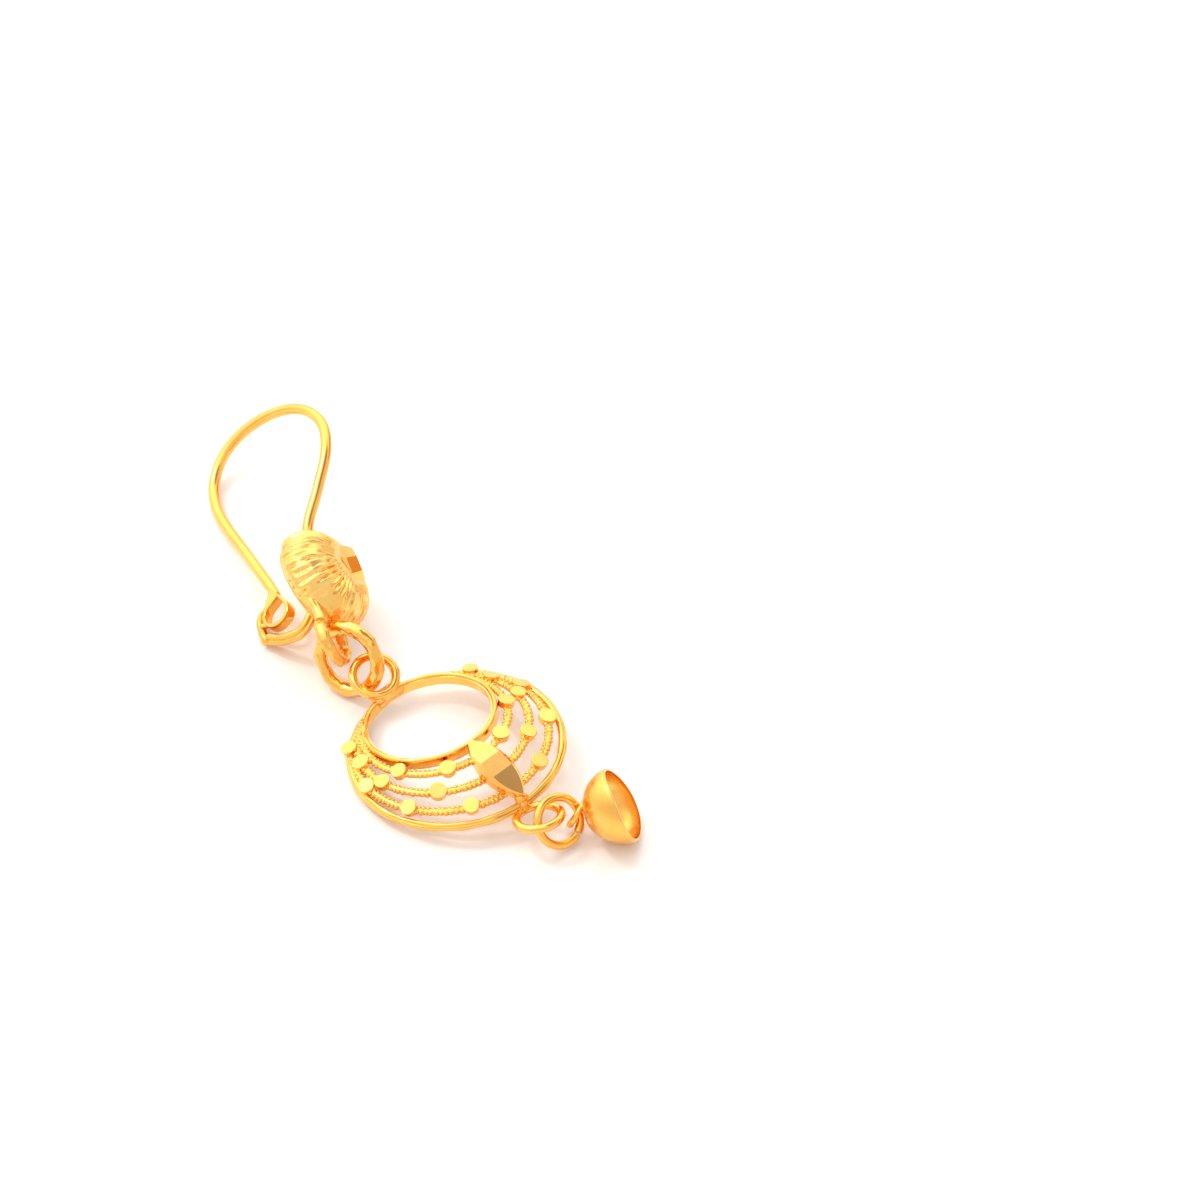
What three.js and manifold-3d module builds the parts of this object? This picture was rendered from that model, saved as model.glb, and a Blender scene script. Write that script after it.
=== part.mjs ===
// A gold drop earring, lying on a flat surface as it is put down.
//
// Five solids hang in one another, from the ear to the tip: the ear hook with its flower boss,
// a link ring, a pierced crescent pendant, a small open jump ring and a bell cup.
// Metal that is soldered together is one solid. Millimetres, +Z up, length along X.

import * as THREE from "three";
import { mergeVertices } from "three/addons/utils/BufferGeometryUtils.js";
import Module from "manifold-3d";

const wasm = await Module();
wasm.setup();

// ---------------------------------------------------------------- driving dimensions

// Inside its own frame each piece has X running down the earring, as it hangs from the ear,
// Y across it and Z out of its front face.

const EAR_WIRE = { radius: 0.41, sides: 8, steps: 60 };

// Stations of the ear wire's centre line, from the back of the boss over the ear to the catch.
const EAR_WIRE_PATH = [
  { down: -1.2, front: -0.5 },
  { down: -4.8, front: -0.95 },
  { down: -7.8, front: 0.1 },
  { down: -10.8, front: 1.0 },
  { down: -13.0, front: 0.8 },
  { down: -14.7, front: -0.35 },
  { down: -15.75, front: -2.0 },
  { down: -16.15, front: -4.3 },
  { down: -15.7, front: -6.6 },
  { down: -14.5, front: -8.25 },
  { down: -12.7, front: -9.05 },
  { down: -10.9, front: -9.0 },
  { down: -9.1, front: -8.4 },
  { down: -5.0, front: -6.25 },
  { down: -0.7, front: -4.0 },
];

// The wire's free end is forged flat and pierced. Each outline is a round end drawn out to a
// point, and lean is how far the point tips to the front.
const EYE = { down: 1.1, front: -3.85, width: 0.84, curve: 16 };
const EYE_OUTLINE = { radius: 1.15, reach: 2.3, lean: -9 };
const EYE_HOLE = { radius: 0.9, reach: 1.3, lean: 10 };

// The catch is a rod from the back of the boss, bent up to a flat lip behind the eye.
const CATCH = { radius: 0.42, ball: 0.4, sides: 8, steps: 14 };
const CATCH_LIP = { radius: 0.3, widen: 1.35, sides: 6, steps: 8 };
const CATCH_PATH = [
  { down: 1.4, front: -0.3 },
  { down: 2.1, front: -0.65 },
  { down: 2.74, front: -1.01 },
  { down: 3.25, front: -1.42 },
  { down: 3.5, front: -2.0 },
  { down: 3.53, front: -2.8 },
  { down: 3.27, front: -3.68 },
  { down: 2.8, front: -4.65 },
];
const CATCH_LIP_PATH = [
  { down: 2.74, front: -5.0 },
  { down: 1.95, front: -5.3 },
  { down: 1.2, front: -5.42 },
  { down: 0.55, front: -5.3 },
  { down: 0.15, front: -5.0 },
];

// The flower boss sits in its own frame, a little aslant on the hook.
const FLOWER_POSE = { x: 0.17, y: 0, z: -0.21, turn: -18.1, pitch: -14.2, roll: 0 };
// dent is how much of its radius the flower has lost where it was pressed in.
const FLOWER = {
  radius: 4.15, lobes: 5, turn: 20, lobeDepth: 0.08, dent: 0.06, dentWay: 225, segments: 50,
};
// Half section of the flower, from its flat back to the seat of the centre cap.
const FLOWER_PROFILE = [
  { radius: 3.55, front: -0.72 },
  { radius: 4.0, front: -0.35 },
  { radius: 4.15, front: 0.1 },
  { radius: 4.05, front: 0.85 },
  { radius: 3.6, front: 1.65 },
  { radius: 2.75, front: 2.3 },
  { radius: 1.6, front: 2.6 },
];
const BACK_PLATE = { radius: 3.3, front: -0.8, thickness: 0.2, segments: 24 };

// The cap is cut to a tilted table, and smaller flats fall away from it.
const CAP = { radius: 1.75, seat: 2.0, table: 2.92, way: 345, tilt: 22, sides: 14 };
// The way each flat faces round the table, its slope from the table, and how far out it leaves it.
const CAP_CUTS = [
  { way: 0, slope: 0, out: 0 },
  { way: 320, slope: 24, out: 0.38 },
  { way: 229, slope: 34, out: 0.33 },
  { way: 140, slope: 45, out: 0.75 },
  { way: 54, slope: 30, out: 0.84 },
  { way: 285, slope: 36, out: 0.95 },
];

// The gusset under the flower narrows to the bail. It is flattened, and drops toward the back.
const GUSSET = { front: 0.28, drop: 0.3, flatten: 0.6, segments: 14 };
const GUSSET_PROFILE = [
  { down: 2.4, wide: 1.5 },
  { down: 3.8, wide: 1.45 },
  { down: 4.3, wide: 0.7 },
  { down: 5.1, wide: 0.42 },
];
const BAIL = {
  down: 5.45, across: 0.04, front: 0.8, lean: -8.5, roll: -9.3, radius: 1.65, wire: 0.37, width: 0.46,
};

const LINK_RING = { radius: 2.31, wire: 0.49, sides: 8, segments: 32 };

// The crescent lies on a shallow sphere. Its rim is level, and its round opening leans up
// toward the top of the pendant, where the two circles touch.
const DOME = { radius: 18.34, rise: 1.68 };
const RIM = { radius: 7.42, wire: 0.29, segments: 52 };
const OPENING = { radius: 4.62, lean: 9.08, wall: 0.42, height: 0.66, segments: 48 };

// Strands are circles of the family that leads from the opening to the rim.
// share is how far a strand has gone from the opening to the rim, ends is its half sweep.
const STRANDS = [
  { name: "inner", share: 0.19, ends: 128 },
  { name: "middle", share: 0.5, ends: 160 },
  { name: "outer", share: 0.79, ends: 122 },
];
const STRAND = { radius: 0.26, sides: 5, stepAngle: 10 };

// Cut discs stand in pairs on either side of the pendant's centre line.
// angle is measured round the strand from the foot of the pendant.
const DISC_PAIRS = [
  { share: 0.19, angle: 27 },
  { share: 0.19, angle: 66 },
  { share: 0.5, angle: 41 },
  { share: 0.5, angle: 82 },
  { share: 0.5, angle: 108 },
  { share: 0.79, angle: 26 },
  { share: 0.79, angle: 63 },
  { share: 0.79, angle: 96 },
  { share: 1, angle: 134 },
];
const DISC = { radius: 0.54, height: 0.58, lift: 0.14, taper: 1.08, sides: 8 };

const MARQUISE = { length: 5.8, width: 2.35, height: 0.95, bevel: 0.3, curve: 8 };
const MARQUISE_POSE = { x: 4.85, y: -0.03, z: 1.78, turn: 2.9, pitch: 19, roll: 0 };
// Its flats from the top down: where each begins along the plate, how far under the plate's
// top it begins, and its slope from the plate's own plane.
const MARQUISE_CUTS = [
  { from: -0.75, under: 0.04, slope: -14 },
  { from: -0.75, under: 0.04, slope: -1 },
  { from: 0.6, under: 0.02, slope: 6 },
];

const TOP_LOOP = {
  down: -8.58, across: -0.34, front: 1.44, lean: 22.7, roll: 4.3, radius: 1.5, wire: 0.31,
};
const FOOT_LOOP = { down: 9.25, across: 0, front: 0.03, lean: -13.4, roll: -6.4, radius: 1.58, wire: 0.32 };
const SOLDER_TAB = { down: -7.4, front: 0.45, length: 0.9, width: 1.9, height: 0.9 };
const SOLDER_BEAD = { down: 7.6, radius: 0.42 };
const BALL = { around: 8, along: 6 };

const JUMP_RING = { radius: 1.68, wire: 0.31, gap: 7, sides: 8, steps: 30 };

// The bell's mouth is a little bent: warp is how far its edge swings either way along X.
const CUP = {
  radius: 2.76, wall: 0.32, mouth: 0.1, lip: 2.7, warp: 0.16, warpWay: 130, bands: 6, segments: 30,
};
const CUP_LOOP = {
  down: -3.31, across: 0.81, front: 0.17, lean: -37, roll: -29.8, radius: 0.98, wire: 0.23, segments: 20,
};

// How each piece lies: the place of its own origin, then turned about Z, pitched about Y
// and rolled about X, in degrees.
const LIE = {
  hook: { x: -16.88, y: -0.41, z: 4.04, turn: -30.4, pitch: 9.6, roll: -50.9 },
  link: { x: -10.43, y: -2.2, z: 2.63, turn: 22.2, pitch: 8.4, roll: 70.3 },
  pendant: { x: 0, y: 0, z: 1.3, turn: 5.4, pitch: -4.15, roll: 5.6 },
  jumpRing: { x: 9.96, y: 2.01, z: 1.652, turn: 51.7, pitch: 41.1, roll: 34.6 },
  cup: { x: 11.92, y: 5.97, z: 2.78, turn: 63.5, pitch: -27, roll: 0 },
};

// Brings the middle of the earring's length and the lowest metal to the origin.
const CENTRE = { x: 9.72, y: -0.06, z: 0.16 };

const GOLD = { color: 0xf2b33d, roughness: 0.22, metalness: 1 };

// ---------------------------------------------------------------- helpers

const degrees = THREE.MathUtils.degToRad;

function solid(geometry) {
  const bare = geometry.index ? geometry.toNonIndexed() : geometry;
  bare.deleteAttribute("normal");
  bare.deleteAttribute("uv");
  const merged = mergeVertices(bare, 1e-5);
  const mesh = new wasm.Mesh({
    numProp: 3,
    vertProperties: new Float32Array(merged.attributes.position.array),
    triVerts: new Uint32Array(merged.index.array),
  });
  return new wasm.Manifold(mesh);
}

function join(solids) {
  return solids.reduce((whole, next) => whole.add(next));
}

// Cuts a flat: what lies beyond the plane goes.
function sliceOff(whole, point, normal) {
  return whole.trimByPlane(normal.clone().negate().toArray(), -normal.dot(point));
}

function geometryOf(whole) {
  const mesh = whole.getMesh();
  const geometry = new THREE.BufferGeometry();
  geometry.setAttribute("position", new THREE.BufferAttribute(mesh.vertProperties, 3));
  geometry.setIndex(new THREE.BufferAttribute(mesh.triVerts, 1));
  geometry.computeVertexNormals();
  return geometry;
}

// Gives a mesh or a frame its place: rolled about X, pitched about Y, then turned about Z.
function place(object, pose) {
  object.position.set(pose.x, pose.y, pose.z);
  object.rotation.set(degrees(pose.roll), degrees(pose.pitch), degrees(pose.turn), "ZYX");
  return object;
}

function piece(name, whole, lie) {
  const mesh = new THREE.Mesh(geometryOf(whole), new THREE.MeshStandardMaterial(GOLD));
  mesh.name = name;
  return place(mesh, lie);
}

function circleShape(radius, sides) {
  const points = [];
  for (let side = 0; side < sides; side += 1) {
    const angle = (2 * Math.PI * side) / sides;
    points.push(new THREE.Vector2(radius * Math.cos(angle), radius * Math.sin(angle)));
  }
  return new THREE.Shape(points);
}

// A round wire along a curve, closed at both ends.
function wire(curve, { radius, sides, steps }) {
  const shape = circleShape(radius, sides);
  return solid(new THREE.ExtrudeGeometry(shape, { extrudePath: curve, steps }));
}

// A curve through stations given as distances down and in front, in the piece's middle plane.
function middleCurve(stations) {
  return new THREE.CatmullRomCurve3(
    stations.map(({ down, front }) => new THREE.Vector3(down, 0, front)),
    false,
    "centripetal",
  );
}

// A closed ring about Z, with its wire made wider along Z by widen.
function ring({ radius, wire: wireRadius, sides = 8, segments = 24, widen = 1 }) {
  const geometry = new THREE.TorusGeometry(radius, wireRadius, sides, segments);
  geometry.scale(1, 1, widen);
  return geometry;
}

// A loop soldered to its piece, rolled about X and leaning about Y.
function loop({ down, across, front, lean, roll, ...size }) {
  const geometry = ring(size);
  geometry.rotateX(degrees(roll));
  geometry.rotateY(degrees(lean));
  geometry.translate(down, across, front);
  return solid(geometry);
}

function ball(radius, x, y, z) {
  const geometry = new THREE.SphereGeometry(radius, BALL.around, BALL.along);
  geometry.translate(x, y, z);
  return solid(geometry);
}

// ---------------------------------------------------------------- ear hook with flower boss

const flowerFrame = place(new THREE.Object3D(), FLOWER_POSE);
flowerFrame.updateMatrix();

// Moves a geometry from the flower's frame to the hook's and makes it solid.
function inFlower(geometry) {
  geometry.applyMatrix4(flowerFrame.matrix);
  return solid(geometry);
}

function flowerDome() {
  const rim = FLOWER_PROFILE[0];
  const seat = FLOWER_PROFILE.at(-1);
  const profile = FLOWER_PROFILE.map(({ radius, front }) => new THREE.Vector2(radius, front));
  profile.unshift(new THREE.Vector2(0, rim.front));
  profile.push(new THREE.Vector2(0, seat.front));
  const geometry = new THREE.LatheGeometry(profile, FLOWER.segments);
  geometry.rotateX(Math.PI / 2);
  const position = geometry.attributes.position;
  for (let i = 0; i < position.count; i += 1) {
    const x = position.getX(i);
    const y = position.getY(i);
    const outward = Math.hypot(x, y) / FLOWER.radius;
    const angle = Math.atan2(y, x) - degrees(FLOWER.turn);
    const lobe = Math.abs(Math.cos((FLOWER.lobes / 2) * angle));
    const pressed = Math.max(Math.cos(Math.atan2(y, x) - degrees(FLOWER.dentWay)), 0) ** 4;
    const scale = 1 - FLOWER.lobeDepth * outward * (1 - lobe) - FLOWER.dent * pressed;
    position.setXY(i, x * scale, y * scale);
  }
  return inFlower(geometry);
}

function backPlate() {
  const { radius, thickness, segments } = BACK_PLATE;
  const geometry = new THREE.CylinderGeometry(radius, radius, thickness, segments);
  geometry.rotateX(Math.PI / 2);
  geometry.translate(0, 0, BACK_PLATE.front);
  return inFlower(geometry);
}

function flowerCap() {
  const height = CAP.table + CAP.radius - CAP.seat;
  const geometry = new THREE.CylinderGeometry(CAP.radius, CAP.radius, height, CAP.sides);
  geometry.rotateX(Math.PI / 2);
  geometry.translate(0, 0, CAP.seat + height / 2);
  const table = new THREE.Matrix4().makeTranslation(0, 0, CAP.table);
  table.multiply(new THREE.Matrix4().makeRotationZ(degrees(CAP.way)));
  table.multiply(new THREE.Matrix4().makeRotationY(degrees(CAP.tilt)));
  table.multiply(new THREE.Matrix4().makeRotationZ(-degrees(CAP.way)));
  const cut = CAP_CUTS.reduce((cap, { way, slope, out }) => {
    const outward = new THREE.Vector3(Math.cos(degrees(way)), Math.sin(degrees(way)), 0);
    const normal = outward.clone().multiplyScalar(Math.sin(degrees(slope)));
    normal.z = Math.cos(degrees(slope));
    const edge = outward.multiplyScalar(out).applyMatrix4(table);
    return sliceOff(cap, edge, normal.transformDirection(table));
  }, solid(geometry));
  return cut.transform(flowerFrame.matrix.elements);
}

function gusset() {
  const first = GUSSET_PROFILE[0];
  const last = GUSSET_PROFILE.at(-1);
  const profile = GUSSET_PROFILE.map(({ down, wide }) => new THREE.Vector2(wide, down));
  profile.unshift(new THREE.Vector2(0, first.down));
  profile.push(new THREE.Vector2(0, last.down));
  const geometry = new THREE.LatheGeometry(profile, GUSSET.segments);
  geometry.rotateZ(-Math.PI / 2);
  geometry.scale(1, 1, GUSSET.flatten);
  geometry.translate(-first.down, 0, 0);
  geometry.rotateY(Math.atan2(GUSSET.drop, last.down - first.down));
  geometry.translate(first.down, 0, GUSSET.front);
  return inFlower(geometry);
}

function teardrop({ radius, reach, lean }) {
  const shape = new THREE.Shape();
  const tip = Math.PI - degrees(lean);
  const touch = Math.acos(radius / reach);
  shape.moveTo(reach * Math.cos(tip), reach * Math.sin(tip));
  shape.lineTo(radius * Math.cos(tip + touch), radius * Math.sin(tip + touch));
  shape.absarc(0, 0, radius, tip + touch, tip - touch, false);
  shape.closePath();
  return shape;
}

// The flat pierced end of the ear wire. Its hole runs across the earring.
function eye() {
  const outline = teardrop(EYE_OUTLINE);
  outline.holes.push(teardrop(EYE_HOLE));
  const geometry = new THREE.ExtrudeGeometry(outline, {
    depth: EYE.width,
    bevelEnabled: false,
    curveSegments: EYE.curve,
  });
  geometry.translate(0, 0, -EYE.width / 2);
  geometry.rotateX(Math.PI / 2);
  geometry.translate(EYE.down, 0, EYE.front);
  return solid(geometry);
}

function catchRod() {
  const end = CATCH_LIP_PATH[0];
  return join([
    wire(middleCurve(CATCH_PATH), CATCH),
    wire(middleCurve(CATCH_LIP_PATH), CATCH_LIP).scale([1, CATCH_LIP.widen, 1]),
    ball(CATCH.ball, end.down, 0, end.front),
  ]);
}

function earHook() {
  return join([
    flowerDome(),
    backPlate(),
    flowerCap(),
    gusset(),
    wire(middleCurve(EAR_WIRE_PATH), EAR_WIRE),
    eye(),
    catchRod(),
    loop({ ...BAIL, widen: BAIL.width / BAIL.wire }),
  ]);
}

// ---------------------------------------------------------------- crescent pendant

const RIM_HALF_ANGLE = Math.asin(RIM.radius / DOME.radius);
const OPENING_HALF_ANGLE = Math.asin(OPENING.radius / DOME.radius);
const SPHERE_CENTRE = -(DOME.radius - DOME.rise);

// Where the strand circle of a given share lies at a given angle from the pendant's foot,
// with the directions along its radius and out of the dome there.
function onDome(share, angleInDegrees) {
  const half = THREE.MathUtils.lerp(OPENING_HALF_ANGLE, RIM_HALF_ANGLE, share);
  const lean = degrees(OPENING.lean) * (1 - share);
  const angle = degrees(angleInDegrees);
  const axis = new THREE.Vector3(-Math.sin(lean), 0, Math.cos(lean));
  const toFoot = new THREE.Vector3(Math.cos(lean), 0, Math.sin(lean));
  const across = new THREE.Vector3(0, 1, 0);
  const outward = axis.multiplyScalar(Math.cos(half));
  outward.addScaledVector(toFoot, Math.sin(half) * Math.cos(angle));
  outward.addScaledVector(across, Math.sin(half) * Math.sin(angle));
  const point = outward.clone().multiplyScalar(DOME.radius);
  point.z += SPHERE_CENTRE;
  return { point, outward };
}

function strand({ share, ends }) {
  const steps = Math.round((2 * ends) / STRAND.stepAngle);
  const points = [];
  for (let step = 0; step <= steps; step += 1) {
    points.push(onDome(share, -ends + (2 * ends * step) / steps).point);
  }
  const curve = new THREE.CatmullRomCurve3(points);
  return wire(curve, { radius: STRAND.radius, sides: STRAND.sides, steps });
}

// The collar round the opening: a flat strip standing on edge, square to the dome.
function openingCollar() {
  const inside = OPENING.radius - OPENING.wall / 2;
  const outside = OPENING.radius + OPENING.wall / 2;
  const corners = [
    [inside, -OPENING.height / 2],
    [outside, -OPENING.height / 2],
    [outside, OPENING.height / 2],
    [inside, OPENING.height / 2],
    [inside, -OPENING.height / 2],
  ];
  const profile = corners.map(([radius, height]) => new THREE.Vector2(radius, height));
  const geometry = new THREE.LatheGeometry(profile, OPENING.segments);
  geometry.rotateX(Math.PI / 2);
  geometry.rotateY(-degrees(OPENING.lean));
  const depth = DOME.radius * Math.cos(OPENING_HALF_ANGLE);
  const lean = degrees(OPENING.lean);
  geometry.translate(-depth * Math.sin(lean), 0, SPHERE_CENTRE + depth * Math.cos(lean));
  return solid(geometry);
}

function disc(share, angle) {
  const { point, outward } = onDome(share, angle);
  const top = DISC.radius * DISC.taper;
  const geometry = new THREE.CylinderGeometry(top, DISC.radius, DISC.height, DISC.sides);
  geometry.translate(0, DISC.lift, 0);
  const upright = new THREE.Quaternion().setFromUnitVectors(new THREE.Vector3(0, 1, 0), outward);
  geometry.applyQuaternion(upright);
  geometry.translate(point.x, point.y, point.z);
  return solid(geometry);
}

// The boat-shaped plate: a sloping border round three flats along its length.
function marquise() {
  const half = MARQUISE.length / 2 - MARQUISE.bevel;
  const side = MARQUISE.width / 2 - MARQUISE.bevel;
  const arc = (half * half + side * side) / (2 * side);
  const sweep = Math.asin(half / arc);
  const outline = new THREE.Shape();
  outline.absarc(0, side - arc, arc, Math.PI / 2 - sweep, Math.PI / 2 + sweep, false);
  outline.absarc(0, arc - side, arc, -Math.PI / 2 - sweep, -Math.PI / 2 + sweep, false);
  outline.closePath();
  const geometry = new THREE.ExtrudeGeometry(outline, {
    depth: MARQUISE.height - MARQUISE.bevel,
    bevelSize: MARQUISE.bevel,
    bevelThickness: MARQUISE.bevel,
    bevelSegments: 1,
    curveSegments: MARQUISE.curve,
  });
  geometry.translate(0, 0, -MARQUISE.height / 2);
  const cut = MARQUISE_CUTS.reduce((plate, { from, under, slope }) => {
    const edge = new THREE.Vector3(from, 0, MARQUISE.height / 2 - under);
    const normal = new THREE.Vector3(Math.sin(degrees(slope)), 0, Math.cos(degrees(slope)));
    return sliceOff(plate, edge, normal);
  }, solid(geometry));
  const frame = place(new THREE.Object3D(), MARQUISE_POSE);
  frame.updateMatrix();
  return cut.transform(frame.matrix.elements);
}

function solderTab() {
  const geometry = new THREE.BoxGeometry(SOLDER_TAB.length, SOLDER_TAB.width, SOLDER_TAB.height);
  geometry.translate(SOLDER_TAB.down, 0, SOLDER_TAB.front);
  return solid(geometry);
}

function crescentPendant() {
  const discs = DISC_PAIRS.flatMap(({ share, angle }) => [disc(share, angle), disc(share, -angle)]);
  return join([
    solid(ring(RIM)),
    openingCollar(),
    ...STRANDS.map(strand),
    ...discs,
    marquise(),
    loop(TOP_LOOP),
    loop(FOOT_LOOP),
    solderTab(),
    ball(SOLDER_BEAD.radius, SOLDER_BEAD.down, 0, 0),
  ]);
}

// ---------------------------------------------------------------- rings and cup

// The jump ring's ends almost meet. Its opening lies at +X.
class OpenRing extends THREE.Curve {
  getPoint(along, target = new THREE.Vector3()) {
    const gap = degrees(JUMP_RING.gap);
    const angle = gap / 2 + (2 * Math.PI - gap) * along;
    return target.set(JUMP_RING.radius * Math.cos(angle), JUMP_RING.radius * Math.sin(angle), 0);
  }
}

function jumpRing() {
  return wire(new OpenRing(), { ...JUMP_RING, radius: JUMP_RING.wire });
}

// A thin round bell, open toward +X, with a small loop on its crown.
function bellCup() {
  const profile = [];
  for (let band = 0; band <= CUP.bands; band += 1) {
    const angle = (Math.PI / 2) * (band / CUP.bands);
    profile.push(new THREE.Vector2(CUP.radius * Math.sin(angle), -CUP.radius * Math.cos(angle)));
  }
  profile.push(new THREE.Vector2(CUP.lip, CUP.mouth));
  const hollow = CUP.radius - CUP.wall;
  profile.push(new THREE.Vector2(CUP.lip - CUP.wall, CUP.mouth));
  for (let band = CUP.bands; band >= 0; band -= 1) {
    const angle = (Math.PI / 2) * (band / CUP.bands);
    profile.push(new THREE.Vector2(hollow * Math.sin(angle), -hollow * Math.cos(angle)));
  }
  const bell = new THREE.LatheGeometry(profile, CUP.segments);
  bell.rotateZ(-Math.PI / 2);
  const position = bell.attributes.position;
  for (let i = 0; i < position.count; i += 1) {
    const x = position.getX(i);
    const around = Math.atan2(position.getZ(i), position.getY(i)) - degrees(CUP.warpWay);
    const share = THREE.MathUtils.smoothstep(x, -CUP.radius / 2, CUP.mouth);
    position.setX(i, x + CUP.warp * share * Math.cos(2 * around));
  }
  return join([solid(bell), loop(CUP_LOOP)]);
}

// ---------------------------------------------------------------- assembly

const earring = new THREE.Group();
earring.name = "drop_earring";
earring.position.set(CENTRE.x, CENTRE.y, CENTRE.z);
earring.add(piece("ear_hook_with_flower_boss", earHook(), LIE.hook));
earring.add(piece("link_ring", solid(ring(LINK_RING)), LIE.link));
earring.add(piece("crescent_pendant", crescentPendant(), LIE.pendant));
earring.add(piece("jump_ring", jumpRing(), LIE.jumpRing));
earring.add(piece("bell_cup", bellCup(), LIE.cup));

export default earring;
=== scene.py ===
# A gold drop earring lying on a pale table: ear wire with flower boss, link ring, pierced
# crescent pendant, jump ring and bell cup. Lengths here are millimetres until a piece is laid.

import math
import random
from itertools import pairwise
from math import radians

import bmesh
import bpy
from mathutils import Euler, Matrix, Vector, noise
from mathutils.geometry import interpolate_bezier


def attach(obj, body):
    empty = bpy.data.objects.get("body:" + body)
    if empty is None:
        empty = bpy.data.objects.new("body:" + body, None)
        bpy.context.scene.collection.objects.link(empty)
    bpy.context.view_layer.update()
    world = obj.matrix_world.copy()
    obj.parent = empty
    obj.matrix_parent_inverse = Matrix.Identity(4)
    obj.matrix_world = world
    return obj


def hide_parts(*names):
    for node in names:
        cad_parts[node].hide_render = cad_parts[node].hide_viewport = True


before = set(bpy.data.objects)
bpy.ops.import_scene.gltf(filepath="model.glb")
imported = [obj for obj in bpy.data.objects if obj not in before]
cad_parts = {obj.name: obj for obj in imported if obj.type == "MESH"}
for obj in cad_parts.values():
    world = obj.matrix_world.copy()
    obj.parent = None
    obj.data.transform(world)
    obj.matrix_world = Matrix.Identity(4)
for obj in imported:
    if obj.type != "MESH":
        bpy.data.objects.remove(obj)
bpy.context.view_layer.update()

MM = 0.001

# ---------------------------------------------------------------- driving dimensions

# In its own frame a piece has X down the earring, Y across it and Z out of its front face.
# A station is a distance down and a distance to the front.

# taper is the share of its radius that the wire loses over its last stretch, into the eye.
EAR_WIRE = {"radius": 0.40, "taper": 0.22, "last": 0.02, "sides": 24, "steps": 10}
EAR_WIRE_PATH = [
    (-1.2, -0.5), (-4.8, -0.95), (-7.8, 0.1), (-10.8, 1.0), (-13.0, 0.8), (-14.7, -0.35),
    (-15.75, -2.0), (-16.15, -4.3), (-15.7, -6.6), (-14.5, -8.25), (-12.7, -9.05),
    (-10.9, -9.0), (-9.1, -8.4), (-5.0, -6.25), (-0.7, -4.0),
]
# The wire's end is forged flat and pierced. lean is how far each outline's point tips to the front.
EYE = {"down": 1.1, "front": -3.85, "width": 0.84, "edge": 0.04}
EYE_OUTLINES = [
    {"radius": 1.15, "reach": 2.3, "lean": -9}, {"radius": 0.9, "reach": 1.32, "lean": 10},
]
# groove is the depth of the rod's groove as a share of its radius, and sharp is how narrow it is.
CATCH = {
    "radius": 0.42, "sides": 48, "steps": 10, "ball": 0.4,
    "groove": 0.36, "groove_side": 225, "sharp": 22,
}
CATCH_PATH = [
    (1.4, -0.3), (2.1, -0.65), (2.74, -1.01), (3.25, -1.42),
    (3.5, -2.0), (3.53, -2.8), (3.27, -3.68), (2.8, -4.65),
]
LIP = {"wide": 0.42, "flatten": 0.75, "sides": 20, "steps": 8, "tip": 0.5}
LIP_PATH = [(2.74, -5.0), (1.95, -5.3), (1.2, -5.42), (0.55, -5.3), (0.15, -5.0)]
# A crumpled burr of metal left on the lip, under the eye.
BURR = {"down": 1.6, "across": -0.2, "front": -4.95, "radius": 0.3}

FLOWER_POSE = {"x": 0.17, "y": 0, "z": -0.21, "turn": -18.1, "pitch": -14.2, "roll": 0}
# dent is the share by which the edge is pressed in at dent_way, and dent_sharp how narrowly.
FLOWER = {
    "radius": 4.15, "lobes": 5, "turn": 20, "lobe_depth": 0.08,
    "dent": 0.06, "dent_way": 225, "dent_sharp": 4,
}
# Ribs run from the cap to the edge. They are worn in patches, and die away over the gusset.
# sharp is how narrow the grooves between them are, start how quickly these deepen out from the
# cap, steep how much more upright they are cut than straight at the flower's middle, and lowest
# the height where they end.
RIBS = {
    "count": 38, "steps": 10, "depth": 0.2, "sharp": 1.5, "start": 4, "steep": 1.2, "lowest": -0.6,
}
# How far a rib wanders, and how far apart its bends are.
RIB_WANDER = {"swing": 0.9, "size": 1.3}
# How much of a rib is left on average, how far that swings, and how large the worn patches are.
RIB_WEAR = {"left": 0.62, "swing": 1.3, "size": 0.8}
# The bare patch over the gusset: its half angle and the fade within that, in degrees, the share
# of the way from the cap to the edge where it begins, and how quickly it does.
RIB_BARE = {"half": 28, "fade": 12, "begin": 0.62, "quick": 4}
# The flower's half section, from its flat back to the seat of the cap: radius and front.
FLOWER_PROFILE = [
    (3.55, -0.72), (4.0, -0.35), (4.15, 0.1), (4.05, 0.85), (3.6, 1.65), (2.75, 2.3), (1.6, 2.6),
]
BACK_PLATE = {"radius": 3.3, "front": -0.8, "thickness": 0.2, "edge": 0.06}
# The cap is cut to a tilted table, and smaller flats fall away from it.
CAP = {
    "radius": 1.75, "seat": 2.0, "table": 2.92, "way": 345, "tilt": 22, "sides": 14, "edge": 0.03,
}
# The way each flat faces round the table, its slope from the table, and how far out it leaves it.
CAP_CUTS = [
    {"way": 320, "slope": 24, "out": 0.38},
    {"way": 229, "slope": 34, "out": 0.33},
    {"way": 140, "slope": 45, "out": 0.75},
    {"way": 54, "slope": 30, "out": 0.84},
    {"way": 285, "slope": 36, "out": 0.95},
]
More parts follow.
